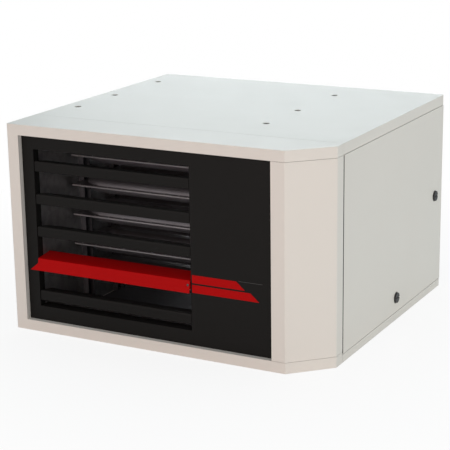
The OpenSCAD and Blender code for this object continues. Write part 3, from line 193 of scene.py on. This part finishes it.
def powder_coat(name, light, dark, roughness, peel=0.00004, sheen=0.4):
    """A sprayed coat that drifts between two tones, with an orange peel this deep in metres."""
    drift, handling, peel_grain, handling_gloss = 4, 22, 620, 0.12
    made, shader, place = new_finish(name, roughness)
    shader.inputs["Specular IOR Level"].default_value = sheen
    blend(noise(place, drift, 3), dark, light).feed(shader, "Base Color")
    dulled = roughness - handling_gloss / 2 + noise(place, handling, 4) * handling_gloss
    dulled.feed(shader, "Roughness")
    relief(noise(place, peel_grain, 1), peel).feed(shader, "Normal")
    return made


cream = powder_coat("cream_coat", (0.72, 0.70, 0.66), (0.69, 0.67, 0.63), 0.45, sheen=0.3)
wear("base_pan top_panel left_side_panel rear_panel", cream)
wear("front_frame corner_post access_door fan_venturi", cream)


# ---------------------------------------------------------------------------
# The black panel and the four black louvers: roll formed thin sheet in satin
# black paint, dull enough to hide the joints behind it.
satin_black = powder_coat("satin_black", (0.009, 0.0085, 0.008), (0.006, 0.0058, 0.0055), 0.5,
                          0.00003, 0.12)
wear("louver_panel louver_1 louver_2 louver_3 louver_5", satin_black)


# ---------------------------------------------------------------------------
# The red louver and the two stripes that continue it over the black panel: a
# smooth baked red enamel on the blade, and the same red printed on the panel.
red_enamel = powder_coat("red_enamel", (0.42, 0.0015, 0.002), (0.37, 0.001, 0.0015), 0.42,
                         0.00002, 0.08)
wear("accent_louver accent_stripes", red_enamel)


# ---------------------------------------------------------------------------
# Galvanized sheet: the outlet duct, baffle, partition, rack and brackets. Zinc
# freezes in flat crystals, each with its own grey.
def galvanized(name, light, dark, crystal, roughness=0.3):
    """Zinc coated sheet with about this many crystals to the metre."""
    crystal_gloss, rolled_grain, grain_depth = 0.22, 300, 0.00003
    made, shader, place = new_finish(name, 0.4, 0.9)
    cell = place.node("TexVoronoi", {}, {"Vector": place, "Scale": crystal}, "Color")
    grey = cell.node("SeparateColor", {}, {"Color": cell}, 0)
    blend(grey, dark, light).feed(shader, "Base Color")
    (roughness + grey * crystal_gloss).feed(shader, "Roughness")
    relief(noise(place, rolled_grain, 3), grain_depth).feed(shader, "Normal")
    return made


zinc_sheet = galvanized("zinc_sheet", (0.56, 0.58, 0.60), (0.40, 0.42, 0.44), 160)
wear("partition manifold_brackets hinge_brackets latch_keepers", zinc_sheet)
# The outlet duct and side baffle wear a darker copy of the zinc sheet: painted shade for the inside
# of the outlet.
outlet_shade_zinc = galvanized("outlet_shade_zinc", (0.38, 0.385, 0.39), (0.28, 0.285, 0.29), 130)
wear("outlet_duct side_baffle", outlet_shade_zinc)
# The element rack and heat shield wear a much darker copy of the zinc: painted shade for the deep
# shade under and behind the elements.
deep_shade_zinc = galvanized("deep_shade_zinc", (0.12, 0.12, 0.13), (0.08, 0.08, 0.09), 130, 0.55)
wear("element_rack", deep_shade_zinc)


# ---------------------------------------------------------------------------
# The heat exchanger, burner box and flue pieces: aluminized steel, pressed in
# halves and crimped, matt grey with faint heat colour.
def aluminized(name, light, dark, warm):
    """Matt grey sheet between two tones, with patches of heat colour."""
    cloud, heat_patch, patch_edge = 18, 7, 3.0
    smoothest, scuff, scuff_gloss = 0.36, 90, 0.22
    rolled_grain, grain_depth = 420, 0.00004
    made, shader, place = new_finish(name, 0.45, 0.85)
    tone = blend(noise(place, cloud, 4), dark, light)
    blend(noise(place, heat_patch, 2) ** patch_edge, tone, warm).feed(shader, "Base Color")
    (smoothest + noise(place, scuff, 4) * scuff_gloss).feed(shader, "Roughness")
    relief(noise(place, rolled_grain, 3), grain_depth).feed(shader, "Normal")
    return made


# The heat elements wear a darkened copy of the flue sheet: painted shade for the inside of the
# cabinet. Its patches of heat colour are the sheet's own.
element_shade_sheet = aluminized("element_shade_sheet", (0.25, 0.245, 0.26), (0.16, 0.155, 0.17), (0.15, 0.12, 0.15))
wear("heat_element_1 heat_element_2 heat_element_3 heat_element_4 heat_element_5", element_shade_sheet)
flue_sheet = aluminized("flue_sheet", (0.60, 0.58, 0.57), (0.47, 0.45, 0.44), (0.42, 0.34, 0.33))
wear("burner_box burner_tubes flue_collector venter_housing flue_collar", flue_sheet)


# ---------------------------------------------------------------------------
# Bare and plated metal: pressed fan blades and wheel, turned shafts, hub, pins,
# screws and nuts, drilled brass orifices and the gas valve's cast body.
def turned_metal(name, light, dark, roughness):
    """Bare or plated metal with a fine grain."""
    stain, scuff, scuff_gloss, grain, grain_depth = 60, 240, 0.16, 900, 0.00002
    made, shader, place = new_finish(name, roughness, 1.0)
    blend(noise(place, stain, 5), dark, light).feed(shader, "Base Color")
    scuffed = roughness - scuff_gloss / 2 + noise(place, scuff, 3) * scuff_gloss
    scuffed.feed(shader, "Roughness")
    relief(noise(place, grain, 2), grain_depth).feed(shader, "Normal")
    return made


zinc_plate = turned_metal("zinc_plate", (0.66, 0.67, 0.68), (0.54, 0.55, 0.57), 0.32)
dark_oxide = turned_metal("dark_oxide", (0.11, 0.11, 0.115), (0.07, 0.07, 0.075), 0.45)
wear("hanger_nuts", dark_oxide)
wear("guard_screws panel_screws motor_band", zinc_plate)
mill_sheet = turned_metal("mill_sheet", (0.50, 0.51, 0.52), (0.41, 0.42, 0.43), 0.52)
wear("propeller venter_wheel", mill_sheet)
bright_steel = turned_metal("bright_steel", (0.58, 0.58, 0.59), (0.46, 0.46, 0.47), 0.28)
wear("hinge_pins motor_shaft venter_shaft fan_hub", bright_steel)
turned_brass = turned_metal("turned_brass", (0.70, 0.50, 0.22), (0.60, 0.41, 0.17), 0.3)
wear("gas_orifices", turned_brass)
cast_alloy = turned_metal("cast_alloy", (0.60, 0.61, 0.62), (0.50, 0.51, 0.52), 0.48)
wear("gas_valve", cast_alloy)


# ---------------------------------------------------------------------------
# The gas pipe and manifold in black pipe, the motors in satin enamel, the
# guard in dip coated wire, and the moulded plastic and ceramic parts.
pipe_black = powder_coat("pipe_black", (0.045, 0.044, 0.044), (0.028, 0.027, 0.027), 0.5, 0.00008)
wear("gas_manifold gas_pipe", pipe_black)
motor_enamel = powder_coat("motor_enamel", (0.030, 0.032, 0.035), (0.022, 0.023, 0.026), 0.36)
wear("fan_motor venter_motor", motor_enamel)
guard_coat = powder_coat("guard_coat", (0.035, 0.035, 0.037), (0.024, 0.024, 0.026), 0.34)
wear("guard_grille guard_basket", guard_coat)
moulded_black = powder_coat("moulded_black", (0.025, 0.025, 0.027), (0.018, 0.018, 0.020), 0.45)
wear("valve_knob limit_switch pressure_switch terminal_strip rear_latch lower_latch", moulded_black)
ceramic = powder_coat("ceramic", (0.80, 0.77, 0.70), (0.74, 0.71, 0.64), 0.25)
wear("igniter flame_sensor", ceramic)
circuit_green = powder_coat("circuit_green", (0.03, 0.16, 0.07), (0.02, 0.11, 0.05), 0.35)
wear("control_board", circuit_green)
lamination = powder_coat("lamination", (0.10, 0.105, 0.12), (0.06, 0.062, 0.07), 0.4)
wear("transformer", lamination)


# ---------------------------------------------------------------------------
# The louver clips: a small folded clip of plated steel holds the right pivot of
# two of the black blades, and the red blade shows the end of its own pivot.
rightward, rearward, upward = (1, 0, 0), (0, 1, 0), (0, 0, 1)
forward, downward = (0, -1, 0), (0, 0, -1)


def block(shape, low, high, soft=0.15):
    """Adds a block with softened edges; its two corners are in millimetres."""
    low, high = Vector(low), Vector(high)
    grown = Matrix.LocRotScale((low + high) / 2, None, high - low)
    corners = bmesh.ops.create_cube(shape, size=1, matrix=grown)["verts"]
    edges = dict.fromkeys(edge for corner in corners for edge in corner.link_edges)
    bmesh.ops.bevel(shape, geom=list(edges), affect="EDGES", offset=soft, segments=2,
                    profile=0.5, material=-1, clamp_overlap=True)


def lathe(shape, centre, ahead, outline, steps=24):
    """Adds a turned solid; outline holds (distance ahead of the centre, radius) in millimetres."""
    centre, ahead = Vector(centre), Vector(ahead)
    sideways = ahead.orthogonal().normalized()
    path = [shape.verts.new(centre + ahead * along + sideways * radius) for along, radius in outline]
    edges = [shape.edges.new(pair) for pair in zip(path, path[1:])]
    bmesh.ops.spin(shape, geom=path + edges, cent=centre, axis=ahead, angle=math.tau,
                   steps=steps, use_merge=True, use_duplicate=False)
    bmesh.ops.remove_doubles(shape, verts=shape.verts, dist=0.0001)


def piece(name, shape, finish, body):
    """Turns a shape in millimetres into a piece that moves with a CAD body."""
    bmesh.ops.scale(shape, vec=(0.001, 0.001, 0.001), verts=shape.verts)
    bmesh.ops.recalc_face_normals(shape, faces=shape.faces)
    mesh = bpy.data.meshes.new(name)
    shape.to_mesh(mesh)
    shape.free()
    mesh.materials.append(finish)
    made = bpy.data.objects.new(name, mesh)
    bpy.context.scene.collection.objects.link(made)
    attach(made, body)


clip_front, clip_left, clip_right = -208, 39, 46.4
foot_rear, leg_rear, leg_left = -200.5, -205, 45.4
for louver, pivot_z in (("louver_2", 212.6), ("louver_3", 162.6)):
    clip = bmesh.new()
    block(clip, (clip_left, clip_front, pivot_z - 4.6), (clip_right, foot_rear, pivot_z - 3.8))
    block(clip, (leg_left, clip_front, pivot_z - 14), (clip_right, leg_rear, pivot_z - 4.2))
    piece(f"{louver}_clip", clip, zinc_plate, louver)
pivot_end = ((0, 0), (0, 1.9), (0.9, 1.9), (1.4, 1.3), (1.5, 0))
pivot = bmesh.new()
lathe(pivot, (44.5, -231.2, 107), forward, pivot_end)
piece("accent_pivot", pivot, dark_oxide, "accent_louver")


# ---------------------------------------------------------------------------
# The pinstripe: a thin grey line printed on the black panel, a little above the
# right end of the red stripes.
grey_ink = powder_coat("grey_ink", (0.06, 0.06, 0.06), (0.05, 0.05, 0.05), 0.5)
pinstripe = bmesh.new()
block(pinstripe, (125, -229.15, 122.35), (162, -228.9, 122.85), 0.05)
piece("pinstripe", pinstripe, grey_ink, "cabinet")


# ---------------------------------------------------------------------------
# The heat exchanger's edges: each element's two halves are rolled together
# along the front and clinched by a row of pressed spots. The rolls wear a lighter
# copy of the elements' sheet: a painted highlight along their front edges.
edge_highlight_sheet = aluminized("edge_highlight_sheet", (0.50, 0.49, 0.50), (0.36, 0.35, 0.37), (0.30, 0.26, 0.27))
element_heights = (65, 112, 159, 206, 253)
roll = ((0, 0), (0, 1.5), (271, 1.5), (271, 0))
spot = ((0, 0), (0, 1.7), (0.5, 1.3), (0.6, 0))
spot_count, spot_pitch, first_spot = 11, 25, -200
rolls = bmesh.new()
for z in element_heights:
    lathe(rolls, (-211, -133.6, z), rightward, roll, 12)
    for step in range(spot_count):
        lathe(rolls, (first_spot + spot_pitch * step, -130.4, z + 0.9), upward, spot, 10)
piece("element_rolls", rolls, edge_highlight_sheet, "cabinet")


# ---------------------------------------------------------------------------
# The propeller's rivets: two domed steel rivets hold each blade's root to the
# spider, seen from both sides.
def on_circle(centre, radius, angle):
    """A point on a circle that faces the rear."""
    x, y, z = centre
    return x + radius * math.cos(angle), y, z + radius * math.sin(angle)


fan_x, fan_z = -77.7, 159
blade_count, rivet_circle, rivet_lean = 4, 25, 0.16
rivet = ((0, 0), (0.3, 1.5), (1.0, 2.3), (4.6, 2.3), (5.3, 1.5), (5.6, 0))
rivets = bmesh.new()
for blade in range(blade_count):
    for lean in (-rivet_lean, rivet_lean):
        angle = math.tau * (blade + 0.5) / blade_count + lean
        lathe(rivets, on_circle((fan_x, 219.6, fan_z), rivet_circle, angle), rearward, rivet, 12)
piece("fan_rivets", rivets, bright_steel, "fan")


# ---------------------------------------------------------------------------
# The fan motor: two end shells pressed over the stator, held by four through
# bolts with nuts at the rear, and a rubber grommet where its leads leave.
shell_rim = ((0, 41.5), (0, 42.5), (2.2, 42.5), (2.2, 41.5), (0, 41.5))
shells = bmesh.new()
for y in (259.5, 288):
    lathe(shells, (fan_x, y, fan_z), rearward, shell_rim, 64)
piece("motor_shells", shells, motor_enamel, "cabinet")
bolt_count, bolt_circle = 4, 29
motor_nut = ((0, 0), (0, 2.9), (2.2, 2.9), (2.6, 2.5), (2.6, 0))
bolt_end = ((0, 0), (0, 1.5), (2.1, 1.5), (2.3, 1.2), (2.3, 0))
nuts = bmesh.new()
for bolt in range(bolt_count):
    angle = math.tau * bolt / bolt_count
    lathe(nuts, on_circle((fan_x, 304.3, fan_z), bolt_circle, angle), rearward, motor_nut, 6)
    lathe(nuts, on_circle((fan_x, 305.8, fan_z), bolt_circle, angle), rearward, bolt_end, 12)
piece("motor_nuts", nuts, zinc_plate, "cabinet")
rubber = powder_coat("rubber", (0.020, 0.020, 0.021), (0.014, 0.014, 0.015), 0.75)
grommet_lip = ((0, 0), (0, 4.2), (1.3, 4.2), (1.8, 3.6), (1.8, 0))
grommet = bmesh.new()
lathe(grommet, (fan_x, 295, 117.5), downward, grommet_lip)
piece("motor_grommet", grommet, rubber, "cabinet")


# ---------------------------------------------------------------------------
# The venter motor: a through bolt with a plated nut on each side of its end
# bearing.
venter_y, venter_z, nut_reach = -3.3, 187.6, 19
venter_nut = ((0, 0), (0, 2.6), (2.6, 2.6), (2.9, 2.3), (2.9, 0))
ends = bmesh.new()
for side in (-1, 1):
    lathe(ends, (183.8, venter_y + side * nut_reach, venter_z), rightward, venter_nut, 6)
piece("venter_motor_nuts", ends, zinc_plate, "cabinet")


# ---------------------------------------------------------------------------
# The gas train: plated nuts hold the valve's two coil cans, and its pressure
# tap, its body screws and the plug at the burner box are turned from brass.
coil_nut = ((0, 0), (0, 4.5), (2.2, 4.5), (2.7, 4), (2.7, 0))
caps = bmesh.new()
for y in (-57.4, -31.8):
    lathe(caps, (170.7, y, 134), upward, coil_nut, 6)
piece("coil_nuts", caps, zinc_plate, "cabinet")
pressure_tap = ((0, 0), (0, 4.2), (2.6, 4.2), (3, 3.8), (3, 0))
body_screw = ((0, 0), (0, 2.3), (1.2, 2.3), (1.6, 1.7), (1.7, 0))
plug = ((0, 0), (0, 4), (3, 4), (3.4, 3.6), (3.4, 0))
taps = bmesh.new()
lathe(taps, (201.2, -15, 78), rightward, pressure_tap, 6)
for y, z in ((-61.5, 73), (-61.5, 110), (-8.5, 110)):
    lathe(taps, (201.3, y, z), rightward, body_screw)
lathe(taps, (185.4, -107.5, 135.5), rightward, plug, 6)
piece("valve_taps", taps, turned_brass, "cabinet")


# ---------------------------------------------------------------------------
# The sight glass: a turned steel rim on the wall of the burner box, through
# which the flames are watched.
glass_rim = ((0, 0), (0, 6), (1.2, 6), (1.6, 5.4), (1.6, 4.4), (1, 4), (1, 0))
window = bmesh.new()
lathe(window, (132.4, -86.5, 135.5), rightward, glass_rim)
piece("sight_glass_rim", window, bright_steel, "cabinet")


# ---------------------------------------------------------------------------
# The control side's plated parts: clamping screws in the terminal strip, foot
# screws of the transformer, spades of the draught switch, pins of the board.
clamp_screw = ((0, 0), (0, 2.4), (2.2, 2.4), (2.9, 1.7), (3, 0))
foot_screw = ((0, 0), (0, 2.6), (1.6, 2.6), (2.2, 1.8), (2.3, 0))
terminal_count, terminal_pitch, terminals_left = 5, 8.4, 183.3
pin_count, pin_pitch, pin_width, pins_left = 6, 10, 0.8, 82
spade_half = 0.4
screws = bmesh.new()
for terminal in range(terminal_count):
    for z in (46.3, 55.3):
        x = terminals_left + terminal_pitch * (terminal + 0.5)
        lathe(screws, (x, 240.5, z), rearward, clamp_screw, 16)
for x in (170, 220.4):
    lathe(screws, (x, 179.8, 2.2), upward, foot_screw, 16)
for y in (54, 72):
    block(screws, (79, y - spade_half, 71), (86.5, y + spade_half, 77))
for pin in range(pin_count):
    x = pins_left + pin_pitch * pin
    block(screws, (x, 158, 8.5), (x + pin_width, 164, 16))
piece("small_hardware", screws, zinc_plate, "cabinet")


# ---------------------------------------------------------------------------
# The ignition board's components: two moulded chips, three relays, two upright
# capacitors, a row of resistors, a white plug header and an amber signal lamp.
capacitor = ((0, 0), (0, 6.1), (14.6, 6.1), (15.3, 5.4), (15.3, 0))
resistor = ((0, 0), (0, 1.1), (6.5, 1.1), (6.5, 0))
relay_count, relay_pitch, relay_left, relay_right = 3, 20.6, 83.1, 98.1
way_count = 8
chips = bmesh.new()
block(chips, (100, 146, 8.6), (112, 152.5, 11))
block(chips, (127.2, 129.3, 9), (140.8, 152.2, 11.4))
for relay in range(relay_count):
    shift = relay_pitch * relay
    block(chips, (relay_left + shift, 94.7, 9.2), (relay_right + shift, 117.9, 23.7), 0.6)
for x in (94.3, 116.3):
    lathe(chips, (x, 138.2, 9.4), upward, capacitor)
for way in range(way_count):
    lathe(chips, (84 + 7 * way, 119.5, 9.8), rearward, resistor, 10)
piece("board_chips", chips, moulded_black, "cabinet")
header = bmesh.new()
block(header, (83, 169.9, 9.2), (142.3, 181.7, 19.2), 0.4)
for way in range(way_count):
    shift = 7.2 * way
    block(header, (85.2 + shift, 169.3, 11), (89.4 + shift, 170.2, 17), 0.2)
piece("board_header", header, ceramic, "cabinet")
lamp_dome = ((0, 0), (0, 1.7), (3, 1.5), (4, 0.9), (4.2, 0))
signal = bmesh.new()
lathe(signal, (145.5, 121, 8.6), upward, lamp_dome, 12)
piece("board_light", signal, turned_brass, "cabinet")


# ---------------------------------------------------------------------------
# The flue collar: a bead rolled into its aluminized sheet near the flange, and
# four plated screws that hold the flange to the rear panel.
flue_x, flue_z = 117, 233
rolled_bead = ((-1.4, 50.1), (-0.9, 51.2), (0, 51.6), (0.9, 51.2), (1.4, 50.1), (-1.4, 50.1))
bead = bmesh.new()
lathe(bead, (flue_x, 246, flue_z), rearward, rolled_bead, 64)
piece("flue_bead", bead, flue_sheet, "cabinet")
flange_screw = ((0, 0), (0, 1.8), (1.1, 1.8), (1.5, 1.2), (1.6, 0))
screw_count, screw_circle = 4, 53.6
collar_screws = bmesh.new()
for screw in range(screw_count):
    angle = math.tau * (screw + 0.5) / screw_count
    place = on_circle((flue_x, 237.2, flue_z), screw_circle, angle)
    lathe(collar_screws, place, rearward, flange_screw, 12)
piece("collar_screws", collar_screws, zinc_plate, "cabinet")


# ---------------------------------------------------------------------------
# The door latches: a thin rubber washer seats each quarter-turn stud on the
# door's skin.
washer_ring = ((0, 8.2), (0, 8.9), (0.2, 8.9), (0.3, 8.7), (0.3, 8.2), (0, 8.2))
for latch, y, z in (("rear", 205.3, 159), ("lower", 42.8, 36)):
    washer = bmesh.new()
    lathe(washer, (254.4, y, z), rightward, washer_ring, 40)
    piece(f"{latch}_washer", washer, rubber, "door")


# ---------------------------------------------------------------------------
# The door's gap: a thin black strip on the door's front flange, painted shade
# that makes the gap between door and corner post read as one dark line.
gap_shade = bmesh.new()
block(gap_shade, (241, -160.3, 13.6), (254.3, -159.85, 300.4), 0.08)
piece("door_gap_shade", gap_shade, rubber, "door")


# ---------------------------------------------------------------------------
# The heat shield: a zinc sheet laid on the base pan below the elements, darkened
# as painted shade for the space under them.
shield = bmesh.new()
block(shield, (-213.5, -195, 1.25), (58, 190, 2.1), 0.1)
piece("heat_shield", shield, deep_shade_zinc, "cabinet")
